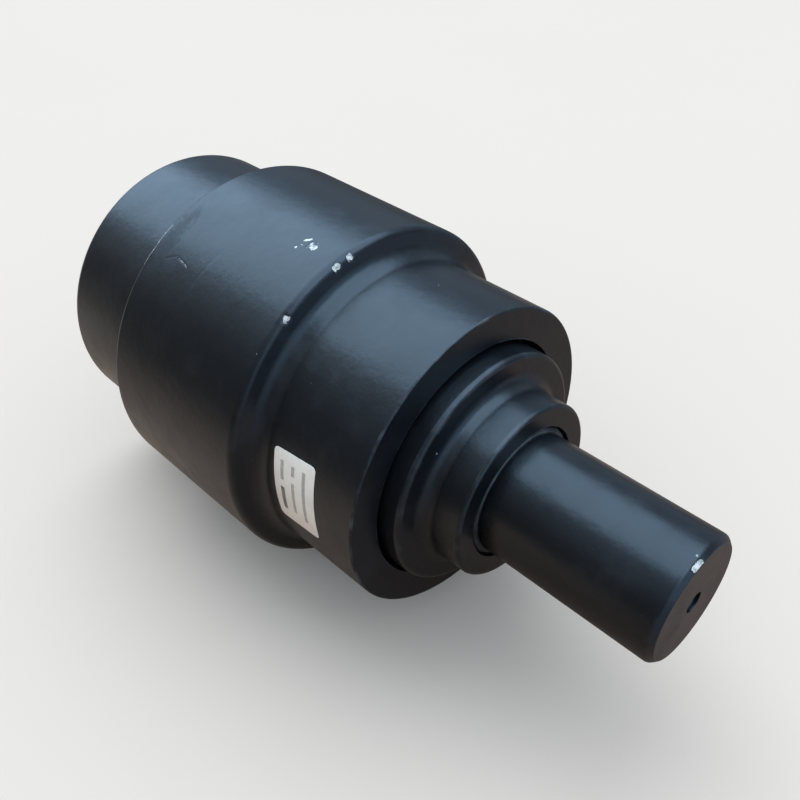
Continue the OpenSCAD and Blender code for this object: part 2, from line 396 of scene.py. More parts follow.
def lathe(name, corners, shows_from_r=0.0, marks=(), wave=0.0, bare_where=None):
    """Closed turned mesh, whose vertices carry how bare, dull, worn or sheltered the paint is; the bare
    value also draws one painted highlight line as bright metal.

    Marks and the forged wave go only on faces outside shows_from_r. Faces where bare_where is
    true take the second material.
    """
    rows = outline_rows(corners, shows_from_r, marks)
    columns = columns_for(marks)
    mesh = bmesh.new()
    bare_layer = mesh.verts.layers.float.new("bare")
    grime_layer = mesh.verts.layers.float.new("grime")
    bend_layer = mesh.verts.layers.float.new("bend")
    rings = []
    for i, (point, bend) in enumerate(rows):
        if point.x < ON_AXIS:
            rings.append([mesh.verts.new((0, point.y * MM, 0))])
            continue
        run = rows[(i + 1) % len(rows)][0] - rows[i - 1][0]
        outward = Vector((-run.y, run.x)).normalized()
        shows = point.x > shows_from_r
        ring = []
        for angle in columns:
            turn = math.radians(angle)
            depth = 0.0
            bare = 0.0
            grime = 0.0
            if shows:
                place = Vector((point.x * math.cos(turn), point.y, point.x * math.sin(turn)))
                depth = wave * forged_wave(place) if wave else 0.0
                for mark in marks:
                    strength = mark.strength(point.x, point.y, angle)
                    if strength:
                        depth += mark.depth * strength
                        bare = max(bare, strength * mark.paint_gone_or_glint)
                        grime = max(grime, strength * mark.grime)
            r = point.x - outward.x * depth
            y = point.y - outward.y * depth
            vert = mesh.verts.new((r * math.cos(turn) * MM, y * MM, r * math.sin(turn) * MM))
            vert[bare_layer] = bare
            vert[grime_layer] = grime
            vert[bend_layer] = bend
            ring.append(vert)
        rings.append(ring)
    for i, (point, _) in enumerate(rows):
        ring = rings[i]
        following = rings[(i + 1) % len(rings)]
        middle = (point + rows[(i + 1) % len(rows)][0]) / 2
        unpainted = bare_where is not None and bare_where(middle.x, middle.y)
        for face in band(mesh, ring, following):
            face.material_index = 1 if unpainted else 0
    return finish_mesh(name, mesh)


def band(mesh, ring, following):
    """Faces between two rings, either of which may be a single point on the axis."""
    if len(ring) == 1 and len(following) == 1:
        return []
    count = max(len(ring), len(following))
    faces = []
    for j in range(count):
        k = (j + 1) % count
        if len(ring) == 1:
            corners = (ring[0], following[k], following[j])
        elif len(following) == 1:
            corners = (ring[j], ring[k], following[0])
        else:
            corners = (ring[j], ring[k], following[k], following[j])
        faces.append(mesh.faces.new(corners))
    return faces


SHARP = math.radians(32)     # edges that bend more than this are shaded hard


def finish_mesh(name, mesh):
    """Turns a bmesh into a smooth-shaded object with its hard edges kept hard."""
    bmesh.ops.recalc_face_normals(mesh, faces=mesh.faces)
    data = bpy.data.meshes.new(name)
    mesh.to_mesh(data)
    mesh.free()
    data.shade_smooth()
    data.set_sharp_from_angle(angle=SHARP)
    piece = bpy.data.objects.new(name, data)
    bpy.context.scene.collection.objects.link(piece)
    return piece


def rod_rings(mesh, start, end, r, sides=64):
    """A closed rod between two points, as faces of a bmesh. Millimetres."""
    start, end = Vector(start), Vector(end)
    turn = (end - start).to_track_quat("Z", "Y")
    rings = []
    for centre in (start, end):
        ring = []
        for j in range(sides):
            a = 2 * math.pi * j / sides
            spoke = turn @ Vector((r * math.cos(a), r * math.sin(a), 0))
            ring.append(mesh.verts.new((centre + spoke) * MM))
        rings.append(ring)
    band(mesh, rings[0], rings[1])
    mesh.faces.new(rings[0])
    mesh.faces.new(rings[1])


def drill(piece, holes):
    """Cuts round holes, each (start, end, radius), into a piece.

    A hole starts a little outside the face that it opens in, so that no two faces coincide.
    """
    mesh = bmesh.new()
    for start, end, r in holes:
        rod_rings(mesh, start, end, r)
    cutter = finish_mesh("cutter", mesh)
    cut = piece.modifiers.new("holes", "BOOLEAN")
    cut.operation = "DIFFERENCE"
    cut.solver = "EXACT"
    cut.object = cutter
    evaluated = piece.evaluated_get(bpy.context.evaluated_depsgraph_get())
    drilled = bpy.data.meshes.new_from_object(evaluated)
    piece.modifiers.clear()
    piece.data = drilled
    drilled.set_sharp_from_angle(angle=SHARP)
    bpy.data.objects.remove(cutter)


def on_circle(circle_r, angle, y):
    turn = math.radians(angle)
    return Vector((circle_r * math.cos(turn), y, circle_r * math.sin(turn)))


# ---- Pieces -----------------------------------------------------------------------

def make_shell():
    root = flange_half + shoulder_run
    corners = [
        (recess_r, shell_near, 0.6),
        (tread_r, shell_near, 0.8),
        (tread_r, flange_mid + root, root_fillet),
        (flange_r, flange_mid + flange_half, 3),
        (flange_r, flange_mid - flange_half, 1.5),
        (tread_r, flange_mid - root, root_fillet),
        (tread_r, shell_far, 3),
        (cover_recess_r, shell_far, 1),
        (cover_recess_r, cover_seat, 0),
        (spigot_r, cover_seat, 0),
        (spigot_r, far_bush_low, 1),
        (bush_r, far_bush_low, 0),
        (bush_r, far_bush_high, 0),
        (oil_space_r, far_bush_high, 2),
        (oil_space_r, bush_low, 2),
        (bush_r, bush_low, 0),
        (bush_r, bush_high, 0),
        (pocket_inner_r, bush_high, 0),
        (pocket_inner_r, recess_floor - pocket_depth, 0.8),
        (pocket_floor_r, recess_floor - pocket_depth, 1.5),
        (pocket_mouth_r, recess_floor, 0.5),
        (recess_r, recess_floor, 1),
    ]
    shell = lathe(
        "forged_shell", corners, recess_r - 0.1, shell_marks, wave=1.0,
        bare_where=lambda r, y: r < recess_r - 0.2 and cover_seat - 1 < y < recess_floor + 1,
    )
    drill(shell, [
        (
            on_circle(bolt_circle_r, a, cover_seat - 1),
            on_circle(bolt_circle_r, a, cover_seat + bolt_hole_depth),
            bolt_r,
        )
        for a in bolt_angles
    ])
    return shell


def make_collar():
    flange_back = -(hub_l + collar_flange_l)
    pocket_floor = flange_back + pocket_depth
    groove_r = bore_r + o_ring_groove_depth
    corners = [
        (mouth_r, 0, 0.4),
        (hub_r, 0, 1.6),
        (hub_r, -hub_l, 5),
        (collar_flange_r, -hub_l, 2),
        (collar_flange_r, flange_back, 1),
        (pocket_mouth_r, flange_back, 0.5),
        (pocket_floor_r, pocket_floor, 1.5),
        (nose_r, pocket_floor, 1),
        (nose_r, collar_nose, 0.6),
        (bore_r, collar_nose, 0),
        (bore_r, o_ring_y - o_ring_groove_half, 0),
        (groove_r, o_ring_y - o_ring_groove_half, 0),
        (groove_r, o_ring_y + o_ring_groove_half, 0),
        (bore_r, o_ring_y + o_ring_groove_half, 0),
        (bore_r, lip_low, 0),
        (mouth_r, lip_low, 0),
    ]

    def machined(r, y):
        in_bore = r < bore_r + 3 and y < lip_low + 0.1
        in_pocket = r < pocket_mouth_r and y < pocket_floor + 0.1
        return in_bore or in_pocket or y < flange_back - 0.01

    collar = lathe(
        "stepped_collar", corners, mouth_r, collar_marks, wave=0.6, bare_where=machined,
    )
    drill(collar, [((0, pin_y, -pin_from_r), (0, pin_y, -hub_r - 5), pin_r)])
    return collar


def make_shaft():
    chamfer = 2.2
    corners = [
        (plug_r, shaft_tip, 0.25),
        (shaft_r - chamfer, shaft_tip, 0.5),
        (shaft_r, shaft_tip - chamfer, 2.6),
        (shaft_r, 0, 0),
        (ring_seat_r, 0, 0),
        (ring_seat_r, ring_seat_end, 0),
        (shaft_r, ring_seat_end, 0),
        (shaft_r, shaft_end + 1, 0.3),
        (shaft_r - 1, shaft_end, 0.3),
        (0, shaft_end, 0),
        (0, gallery_end, 0),
        (gallery_r, gallery_end, 0),
        (gallery_r, plug_low, 0),
        (plug_r, plug_low, 0),
    ]
    shaft = lathe(
        "turned_shaft", corners, plug_r - 0.1, shaft_marks, wave=0.3,
        bare_where=lambda r, y: y < ring_seat_end or r < plug_r and y < shaft_tip - 1,
    )
    cross_hole_y = gallery_end + 6
    drill(shaft, [
        ((-shaft_r - 1, cross_hole_y, 0), (shaft_r + 1, cross_hole_y, 0), cross_hole_r),
        ((0, pin_y, -pin_from_r), (0, pin_y, -shaft_r - 1), pin_r),
        *(
            (
                on_circle(thrust_bolt_circle_r, a, shaft_end - 1),
                on_circle(thrust_bolt_circle_r, a, shaft_end + bolt_hole_depth),
                bolt_r,
            )
            for a in thrust_bolt_angles
        ),
    ])
    return shaft


def make_dust_ring():
    lip_r = shaft_r + 1.7
    flange_top = lip_low + 1.6
    corners = [
        (ring_seat_r, lip_high, 0),
        (shaft_r + 0.35, lip_high, 0.3),
        (shaft_r + 0.75, lip_high - 0.45, 0.25),
        (lip_r, lip_high - 0.2, 0.4),
        (lip_r, flange_top, 0.3),
        (mouth_r, flange_top, 0.3),
        (mouth_r, lip_low, 0),
        (shaft_r, lip_low, 0),
        (shaft_r, ring_seat_end, 0),
        (ring_seat_r, ring_seat_end, 0),
    ]
    return lathe("dust_lip", corners)


def make_cover():
    groove_r = spigot_r - cover_groove_depth
    corners = [
        (0, cover_seat, 0),
        (cover_hollow_r, cover_seat, 2),
        (cover_hollow_r, cover_high, 0.5),
        (spigot_r, cover_high, 1),
        (spigot_r, cover_groove_y + 2, 0),
        (groove_r, cover_groove_y + 2, 0),
        (groove_r, cover_groove_y - 2, 0),
        (spigot_r, cover_groove_y - 2, 0),
        (spigot_r, cover_seat, 0),
        (cover_r, cover_seat, 0),
        (cover_r, cover_low, 1),
        (cover_dish_r + 1, cover_low, 0.8),
        (cover_dish_r, cover_low + 1, 0.8),
        (0, cover_low + 1, 0),
    ]
    cover = lathe(
        "bolted_cover", corners, 0.5, wave=0.5,
        bare_where=lambda r, y: y > cover_seat - 0.1,
    )
    drill(cover, [
        (
            on_circle(bolt_circle_r, a, cover_low - 2),
            on_circle(bolt_circle_r, a, cover_seat + 2),
            bolt_clearance_r,
        )
        for a in bolt_angles
    ])
    return cover


def hex_reach(angle, across_flats):
    """Distance from a hexagon's centre to its side, with the corners slightly blunted."""
    from_flat = (angle + 30) % 60 - 30
    corner = across_flats / 2 / math.cos(math.radians(30))
    return min(across_flats / 2 / math.cos(math.radians(from_flat)), corner * 0.985)


def bolt_columns():
    """Angles round a hexagon, close together at its corners."""
    return stations(0, 360, 5, 1.2, [(k * 60 + 26, k * 60 + 34) for k in range(6)])[:-1]


def polar_rings(mesh, rows, columns, centre, turn):
    """Rings of (reach, height) rows round an axis through centre along Y, joined by faces.

    A reach is a number, or a function of the angle. Height runs towards -Y.
    """
    rings = []
    for reach, height in rows:
        if reach == 0:
            rings.append([mesh.verts.new((centre + Vector((0, -height, 0))) * MM)])
            continue
        ring = []
        for angle in columns:
            r = reach(angle) if callable(reach) else reach
            h = height(angle) if callable(height) else height
            a = math.radians(angle + turn)
            spoke = Vector((r * math.cos(a), -h, r * math.sin(a)))
            ring.append(mesh.verts.new((centre + spoke) * MM))
        rings.append(ring)
    for ring, following in zip(rings, rings[1:]):
        band(mesh, ring, following)


def add_bolt(mesh, centre, turn):
    """One hexagon bolt whose head stands on centre and points to -Y."""
    chamfer_r = bolt_af / 2 - 0.35

    def side(angle):
        return hex_reach(angle, bolt_af)

    def chamfer_height(angle):
        return bolt_head_h - max(0.0, side(angle) - chamfer_r) * math.tan(math.radians(30))

    rows = [
        (0, bolt_head_h - 0.35),
        (3.6, bolt_head_h - 0.35),
        (4.3, bolt_head_h - 0.08),
        (4.7, bolt_head_h),
        (chamfer_r - 0.15, bolt_head_h),
        (chamfer_r, bolt_head_h - 0.03),
        (lambda a: side(a) - 0.12, lambda a: chamfer_height(a) + 0.02),
        (lambda a: side(a) - 0.03, lambda a: chamfer_height(a) - 0.06),
        (side, lambda a: chamfer_height(a) - 0.18),
        (side, 0.55),
        (lambda a: side(a) - 0.05, 0.42),
        (lambda a: min(side(a) - 0.2, bolt_af / 2 - 0.3), 0.3),
        (bolt_af / 2 - 0.4, 0.05),
        (bolt_af / 2 - 0.5, 0),
        (bolt_r + 0.3, 0),
        (bolt_r, -0.3),
        (bolt_r, -bolt_shank),
        (bolt_r - 0.8, -bolt_shank - 1),
        (0, -bolt_shank - 1),
    ]
    polar_rings(mesh, rows, bolt_columns(), centre, turn)


def make_cover_bolts():
    mesh = bmesh.new()
    seat = cover_low - washer_h
    for angle, turn in zip(bolt_angles, (8, 31, 47, 22)):
        add_bolt(mesh, on_circle(bolt_circle_r, angle, seat), turn)
    return finish_mesh("cover_screw_set", mesh)


def make_cover_washers():
    """Split spring washers, each a square section swept round with a slight rise."""
    mesh = bmesh.new()
    gap = 9              # degrees left open on each side of the split
    rise = 0.12
    edge = 0.25
    inner = bolt_r + 0.25
    steps = 72
    for angle, turn in zip(bolt_angles, (200, 95, 310, 20)):
        centre = on_circle(bolt_circle_r, angle, cover_low)
        rings = []
        for j in range(steps + 1):
            a = math.radians(turn + gap + (360 - 2 * gap) * j / steps)
            lean = rise * (j / steps - 0.5)
            low, high = max(0.0, lean), washer_h + min(0.0, lean)
            section = [
                (inner, low + edge), (inner + edge, low),
                (washer_r - edge, low), (washer_r, low + edge),
                (washer_r, high - edge), (washer_r - edge, high),
                (inner + edge, high), (inner, high - edge),
            ]
            rings.append([
                mesh.verts.new((centre + Vector((r * math.cos(a), -h, r * math.sin(a)))) * MM)
                for r, h in section
            ])
        for ring, following in zip(rings, rings[1:]):
            band(mesh, ring, following)
        mesh.faces.new(rings[0])
        mesh.faces.new(rings[-1])
    return finish_mesh("spring_washer_set", mesh)


def make_plug():
    """Threaded plug with a hexagon socket, set back in the hole at the shaft's tip."""
    mesh = bmesh.new()

    def socket(angle):
        return hex_reach(angle, plug_socket_af)

    length = plug_high - plug_low
    rows = [
        (0, plug_socket_depth + 0.6),
        (socket, plug_socket_depth),
        (socket, 0.35),
        (lambda a: socket(a) + 0.3, 0.05),
        (plug_r - 0.9, 0),
        (plug_r - 0.5, 0.1),
        (plug_r, 0.6),
        (plug_r, length - 0.5),
        (plug_r - 0.5, length),
        (0, length),
    ]
    polar_rings(mesh, rows, bolt_columns(), Vector((0, plug_high, 0)), 12)
    return finish_mesh("socket_plug", mesh)


def make_pin():
    """Spring pin with a slit, under the hub."""
    mesh = bmesh.new()
    outer, inner, half_slit = pin_r, 1.6, 0.4
    low_end, deep_end = hub_r - 0.6, pin_from_r
    rows = [
        (outer - 0.4, low_end),
        (outer, low_end - 0.6),
        (outer, deep_end),
        (inner, deep_end),
        (inner, low_end),
    ]
    steps = 60
    gap = math.asin(half_slit / outer)
    rings = []
    for j in range(steps + 1):
        a = gap + (2 * math.pi - 2 * gap) * j / steps
        rings.append([
            mesh.verts.new(Vector((r * math.cos(a), pin_y + r * math.sin(a), -out)) * MM)
            for r, out in rows
        ])
    for ring, following in zip(rings, rings[1:]):
        band(mesh, ring, following)
    mesh.faces.new(rings[0])
    mesh.faces.new(rings[-1])
    return finish_mesh("locking_pin", mesh)


LABEL_WIDE = 32.0        # round the tread
LABEL_HIGH = 21.8        # along the axis
LABEL_CORNER = 1.9
LABEL_THICK = 0.14
LABEL_ANGLE = 5.0
LABEL_Y = -55.1
LABEL_SLANT = -5.5
LABEL_ROWS = 30
CURL_FROM = 0.82         # where the lifting corner starts; the corner itself is at 1
CURL = 2.2
BUBBLE = 0.02


def make_label():
    """Paper label bent round the near tread, slightly slanted, with one corner lifting."""
    mesh = bmesh.new()
    uv = mesh.loops.layers.uv.new("print")
    slant = math.radians(LABEL_SLANT)
    end = LABEL_WIDE / 2
    rounding = [(-end, 1.5 - end), (end - 1.5, end)]
    across = stations(-end, end, 0.7, 0.25, rounding)
    shares = [i / LABEL_ROWS * 2 - 1 for i in range(LABEL_ROWS + 1)]
    where = {}
    layers = []
    for lift in (0.0, LABEL_THICK):
        grid = []
        for s in across:
            from_end = end - abs(s)
            trim = 0.0
            if from_end < LABEL_CORNER:
                past = LABEL_CORNER - from_end
                trim = LABEL_CORNER - math.sqrt(LABEL_CORNER ** 2 - past ** 2)
            line = []
            for share in shares:
                t = share * (LABEL_HIGH / 2 - trim)
                curl = max(0.0, (s / LABEL_WIDE + t / LABEL_HIGH) - CURL_FROM)
                bubble = BUBBLE * (1 + noise.noise(Vector((s / 6, t / 6, 2))))
                r = tread_r + 0.01 + lift + CURL * curl ** 2 + bubble
                y = LABEL_Y + t * math.cos(slant) + s * math.sin(slant)
                arc = s * math.cos(slant) - t * math.sin(slant)
                a = math.radians(LABEL_ANGLE) + arc / tread_r
                vert = mesh.verts.new((r * math.cos(a) * MM, y * MM, r * math.sin(a) * MM))
                where[vert] = (s / LABEL_WIDE + 0.5, t / LABEL_HIGH + 0.5)
                line.append(vert)
            grid.append(line)
        layers.append(grid)
    last_i, last_j = len(across) - 1, len(shares) - 1
    rim = [(i, 0) for i in range(last_i)] + [(last_i, j) for j in range(last_j)]
    rim += [(i, last_j) for i in range(last_i, 0, -1)] + [(0, j) for j in range(last_j, 0, -1)]
    for grid in layers:
        for i in range(last_i):
            for j in range(last_j):
                mesh.faces.new((grid[i][j], grid[i + 1][j], grid[i + 1][j + 1], grid[i][j + 1]))
    low, high = layers
    for (i, j), (k, m) in zip(rim, rim[1:] + rim[:1]):
        mesh.faces.new((low[i][j], low[k][m], high[k][m], high[i][j]))
    for face in mesh.faces:
        for loop in face.loops:
            loop[uv].uv = where[loop.vert]
    return finish_mesh("paper_label", mesh)


# ---- Materials --------------------------------------------------------------------

class Graph:
    """Adds shader nodes to one node tree, with each input given as a number or a socket."""

    def __init__(self, tree):
        self.tree = tree
        tree.nodes.clear()

    def add(self, kind, inputs=None, **settings):
        node = self.tree.nodes.new("ShaderNode" + kind)
        for key, value in settings.items():
            setattr(node, key, value)
        for key, value in (inputs or {}).items():
            if isinstance(value, bpy.types.NodeSocket):
                self.tree.links.new(value, node.inputs[key])
            else:
                node.inputs[key].default_value = value
        return node

    def noise(self, where, scale, detail=3.0, roughness=0.55):
        node = self.add("TexNoise", {
            "Vector": where, "Scale": scale, "Detail": detail, "Roughness": roughness,
        })
        return node.outputs["Fac"]

    def math(self, operation, a, b=0.0):
        return self.add("Math", {0: a, 1: b}, operation=operation).outputs[0]

    def fade(self, value, low, high, to_low=0.0, to_high=1.0):
        """Maps low..high to to_low..to_high with soft ends."""
        node = self.add("MapRange", {
            "Value": value, "From Min": low, "From Max": high, "To Min": to_low, "To Max": to_high,
        }, interpolation_type="SMOOTHSTEP")
        return node.outputs["Result"]

    def mix(self, factor, a, b):
        """Mixes two colours, each a colour triple or a socket."""
        node = self.add("Mix", {0: factor}, data_type="RGBA")
        for index, value in ((6, a), (7, b)):
            if isinstance(value, bpy.types.NodeSocket):
                self.tree.links.new(value, node.inputs[index])
            else:
                node.inputs[index].default_value = (*value, 1)
        return node.outputs[2]

    def bump(self, height, distance_mm, under=None, strength=1.0):
        inputs = {"Height": height, "Distance": distance_mm * MM, "Strength": strength}
        if under is not None:
            inputs["Normal"] = under
        return self.add("Bump", inputs).outputs["Normal"]


def new_material(name):
    material = bpy.data.materials.new(name)
    material.use_nodes = True
    return material, Graph(material.node_tree)


def shade(graph, inputs):
    """Ends a material in one Principled shader."""
    surface = graph.add("BsdfPrincipled", inputs)
    graph.add("OutputMaterial", {"Surface": surface.outputs["BSDF"]})


def turned_place(graph, where):
    """(radius, y) in metres, for marks that run round the axis as a lathe leaves them."""
    split = graph.add("SeparateXYZ", {"Vector": where})
    flat = graph.add("CombineXYZ", {"X": split.outputs["X"], "Y": split.outputs["Z"]})
    radius = graph.add("VectorMath", {0: flat.outputs[0]}, operation="LENGTH").outputs["Value"]
    return graph.add("CombineXYZ", {"X": radius, "Y": split.outputs["Y"]}).outputs[0]


# Colours of the paint and of what lies on it and under it
PAINT_DARK = (0.0027, 0.0032, 0.0039)
PAINT_PALE = (0.0047, 0.0053, 0.0063)
DUST = (0.030, 0.028, 0.026)
NOOK_DIRT = (0.022, 0.020, 0.019)
WORN_EDGE = (0.052, 0.056, 0.060)
MOTE = (0.12, 0.12, 0.12)
CHIP_RIM = (0.002, 0.002, 0.002)
# Bare metal in chips, also used for a painted highlight line along the flange's far edge
METAL_OR_GLINT_DARK = (0.24, 0.23, 0.22)
METAL_OR_GLINT_BRIGHT = (0.60, 0.57, 0.52)


def satin_paint():
    """Satin black paint over steel, with dust, worn edges and chips down to bright metal; the bright metal
    also draws a painted highlight line along one edge.
    """
    material, graph = new_material("satin_black_paint")
    where = graph.add("TexCoord").outputs["Object"]
    bare = graph.add("Attribute", attribute_name="bare").outputs["Fac"]
    grime = graph.add("Attribute", attribute_name="grime").outputs["Fac"]
    bend = graph.add("Attribute", attribute_name="bend").outputs["Fac"]

    broad = graph.noise(where, 22, 4)
    patches = graph.noise(where, 75, 5, 0.6)
    grain = graph.noise(where, 620, 3, 0.6)
    speck = graph.noise(where, 1500, 2, 0.7)

    ragged = graph.math("MULTIPLY", graph.math("SUBTRACT", speck, 0.5), 0.8)
    # Bare metal where chips are, and where a painted highlight line is drawn as bright metal
    metal_or_glint = graph.fade(graph.math("ADD", bare, ragged), 0.50, 0.58)
    rim = graph.math("MULTIPLY", graph.fade(bare, 0.05, 0.35), graph.fade(grain, 0.42, 0.56))
    uneven = graph.fade(patches, 0.46, 0.62, 0.06, 1.0)
    worn = graph.math("MULTIPLY", graph.fade(bend, 0.2, 0.9), uneven)
    dusty = graph.math("MULTIPLY", graph.fade(patches, 0.46, 0.78), graph.fade(broad, 0.35, 0.7))
    nook = graph.math("MULTIPLY", graph.fade(bend, -0.2, -1.0), graph.fade(patches, 0.3, 0.7))
    mote = graph.fade(graph.noise(where, 950, 1, 0.4), 0.81, 0.85)

    colour = graph.mix(graph.fade(broad, 0.3, 0.7), PAINT_DARK, PAINT_PALE)
    colour = graph.mix(graph.math("MULTIPLY", dusty, 0.16), colour, DUST)
    colour = graph.mix(graph.math("MULTIPLY", nook, 0.25), colour, NOOK_DIRT)
    colour = graph.mix(graph.math("MULTIPLY", worn, 0.65), colour, WORN_EDGE)
    colour = graph.mix(graph.math("MULTIPLY", mote, 0.3), colour, MOTE)
    colour = graph.mix(graph.math("MULTIPLY", rim, 0.8), colour, CHIP_RIM)
    bright = graph.mix(graph.fade(grain, 0.38, 0.62), METAL_OR_GLINT_DARK, METAL_OR_GLINT_BRIGHT)
    colour = graph.mix(metal_or_glint, colour, bright)

    rough = graph.fade(patches, 0.25, 0.75, 0.28, 0.35)
    rough = graph.math("ADD", rough, graph.math("MULTIPLY", dusty, 0.08))
    rough = graph.math("ADD", rough, graph.math("MULTIPLY", grime, 0.20))
    rough = graph.math("ADD", rough, graph.math("MULTIPLY", metal_or_glint, 0.25))

    normal = graph.bump(graph.noise(where, 240, 2), 0.08)
    normal = graph.bump(grain, 0.034, normal)
    normal = graph.bump(graph.math("MULTIPLY", metal_or_glint, speck), 0.12, normal)
    shade(graph, {
        "Base Color": colour,
        "Roughness": rough,
        "Normal": normal,
    })
    return material


def turned_metal(name, dark, light, rough_low, rough_high, line_mm=0.02):
    """Machined metal with fine turning lines and faint stains."""
    material, graph = new_material(name)
    where = graph.add("TexCoord").outputs["Object"]
    lines = graph.noise(turned_place(graph, where), 2600, 2, 0.6)
    stains = graph.noise(where, 90, 4, 0.6)
    colour = graph.mix(graph.fade(stains, 0.3, 0.7), dark, light)
    uneven = graph.math("ADD", graph.math("MULTIPLY", lines, 0.5), stains)
    rough = graph.fade(uneven, 0.4, 1.1, rough_low, rough_high)
    shade(graph, {
        "Base Color": colour,
        "Roughness": rough,
        "Metallic": 1.0,
        "Normal": graph.bump(lines, line_mm),
    })
    return material


def cast_iron():
    """Grey cast seal iron with a grainy skin."""
    material, graph = new_material("seal_cast_iron")
    where = graph.add("TexCoord").outputs["Object"]
    skin = graph.noise(where, 420, 4, 0.65)
    stains = graph.noise(where, 110, 3)
    colour = graph.mix(graph.fade(stains, 0.3, 0.7), (0.20, 0.20, 0.21), (0.42, 0.42, 0.43))
    shade(graph, {
        "Base Color": colour,
        "Roughness": graph.fade(skin, 0.3, 0.7, 0.38, 0.6),
        "Metallic": 1.0,
        "Normal": graph.bump(skin, 0.05),
    })
    return material


def zinc_plate():
    """Zinc plating with soft spangles."""
    material, graph = new_material("zinc_plating")
    where = graph.add("TexCoord").outputs["Object"]
    spangle = graph.add("TexVoronoi", {"Vector": where, "Scale": 900}).outputs["Distance"]
    haze = graph.noise(where, 200, 3)
    colour = graph.mix(graph.fade(haze, 0.3, 0.7), (0.52, 0.54, 0.56), (0.70, 0.71, 0.72))
    rough = graph.fade(haze, 0.3, 0.7, 0.30, 0.42)
    rough = graph.math("ADD", rough, graph.math("MULTIPLY", spangle, 0.12))
    shade(graph, {
        "Base Color": colour,
        "Roughness": rough,
        "Metallic": 1.0,
        "Normal": graph.bump(haze, 0.02),
    })
    return material


def rubber():
    """Matt black rubber, slightly dusty."""
    material, graph = new_material("matt_rubber")
    where = graph.add("TexCoord").outputs["Object"]
    dust = graph.noise(where, 160, 4, 0.6)
    skin = graph.noise(where, 1400, 2)
    colour = graph.mix(graph.fade(dust, 0.4, 0.75), (0.016, 0.016, 0.017), (0.050, 0.049, 0.047))
    shade(graph, {
        "Base Color": colour,
        "Roughness": graph.fade(dust, 0.3, 0.8, 0.50, 0.68),
        "Normal": graph.bump(skin, 0.03),
    })
    return material


# Plain bars printed on the label, each (first u, last u, first v, last v, ink). A bar begins
# at the upper end of the label, where u is 1.
PRINT_BARS = [
    (0.16, 0.87, 0.70, 0.79, 0.55),
    (0.72, 0.86, 0.43, 0.52, 0.55),
    (0.20, 0.64, 0.43, 0.52, 0.50),
    (0.60, 0.87, 0.16, 0.25, 0.55),
    (0.17, 0.51, 0.15, 0.26, 0.85),
]


def label_paper():
    """Coated white paper with plain printed bars."""
    material, graph = new_material("label_paper")
    uv = graph.add("UVMap", uv_map="print").outputs["UV"]
    split = graph.add("SeparateXYZ", {"Vector": uv})
    u, v = split.outputs["X"], split.outputs["Y"]
    soft_u, soft_v = 0.008, 0.012        # width of a bar's soft edge
    ink = None
    for first_u, last_u, first_v, last_v, strength in PRINT_BARS:
        sides = (
            graph.fade(u, first_u, first_u + soft_u),
            graph.fade(u, last_u, last_u - soft_u),
            graph.fade(v, first_v, first_v + soft_v),
            graph.fade(v, last_v, last_v - soft_v),
        )
        bar = strength
        for side in sides:
            bar = graph.math("MULTIPLY", side, bar)
        ink = bar if ink is None else graph.math("MAXIMUM", ink, bar)
    where = graph.add("TexCoord").outputs["Object"]
    fibre = graph.noise(where, 900, 4, 0.6)
    stain = graph.noise(where, 120, 3)
    ink = graph.math("MULTIPLY", ink, graph.fade(fibre, 0.3, 0.6, 0.8, 1.0))
    sheet = graph.mix(graph.fade(stain, 0.35, 0.75), (0.83, 0.76, 0.67), (0.76, 0.69, 0.61))
    shade(graph, {
        "Base Color": graph.mix(ink, sheet, (0.03, 0.03, 0.03)),
        "Roughness": graph.fade(fibre, 0.3, 0.7, 0.42, 0.55),
        "Normal": graph.bump(fibre, 0.01),
    })
    return material


paint = satin_paint()
steel = turned_metal("turned_steel", (0.40, 0.40, 0.41), (0.56, 0.56, 0.57), 0.28, 0.42)
bronze = turned_metal("turned_bronze", (0.50, 0.33, 0.14), (0.66, 0.46, 0.22), 0.26, 0.40)
iron = cast_iron()
zinc = zinc_plate()
black_rubber = rubber()
paper = label_paper()


def coat(piece, *materials):
    piece.data.materials.clear()
    for material in materials:
        piece.data.materials.append(material)


def settle(piece, body, node, slot, *materials):
    """Puts a made piece in place of its CAD node, on that node's body."""
    coat(piece, *materials)
    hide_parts(node)
    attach(piece, body)


settle(make_shell(), "roller", "roller_shell", "black_paint", paint, steel)
settle(make_collar(), "shaft_assembly", "collar", "black_paint", paint, steel)
settle(make_shaft(), "shaft_assembly", "shaft", "black_paint", paint, steel)
settle(make_dust_ring(), "shaft_assembly", "dust_ring", "seal_rubber", black_rubber)
settle(make_cover(), "roller", "end_cover", "black_paint", paint, steel)
settle(make_cover_bolts(), "roller", "cover_bolts", "black_paint", paint)
settle(make_cover_washers(), "roller", "cover_washers", "black_paint", paint)
settle(make_plug(), "shaft_assembly", "oil_plug", "black_paint", paint)
settle(make_pin(), "shaft_assembly", "collar_pin", "zinc_steel", zinc)
settle(make_label(), "roller", "label", "white_label", paper)

# Inner pieces keep their CAD shape
inner = {
    "collar_o_ring": black_rubber,
    "fixed_toric_ring": black_rubber,
    "turning_toric_ring": black_rubber,
    "cover_o_ring": black_rubber,
    "fixed_seal_ring": iron,
    "turning_seal_ring": iron,
    "thrust_plate": steel,
    "thrust_plate_bolts": zinc,
    "thrust_plate_washers": zinc,
    "collar_side_bush": bronze,
    "cover_side_bush": bronze,
    "collar_side_thrust_washer": bronze,
    "cover_side_thrust_washer": bronze,
}
for node_name, node_material in inner.items():
    coat(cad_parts[node_name], node_material)


# ---- Floor, light and camera ------------------------------------------------------

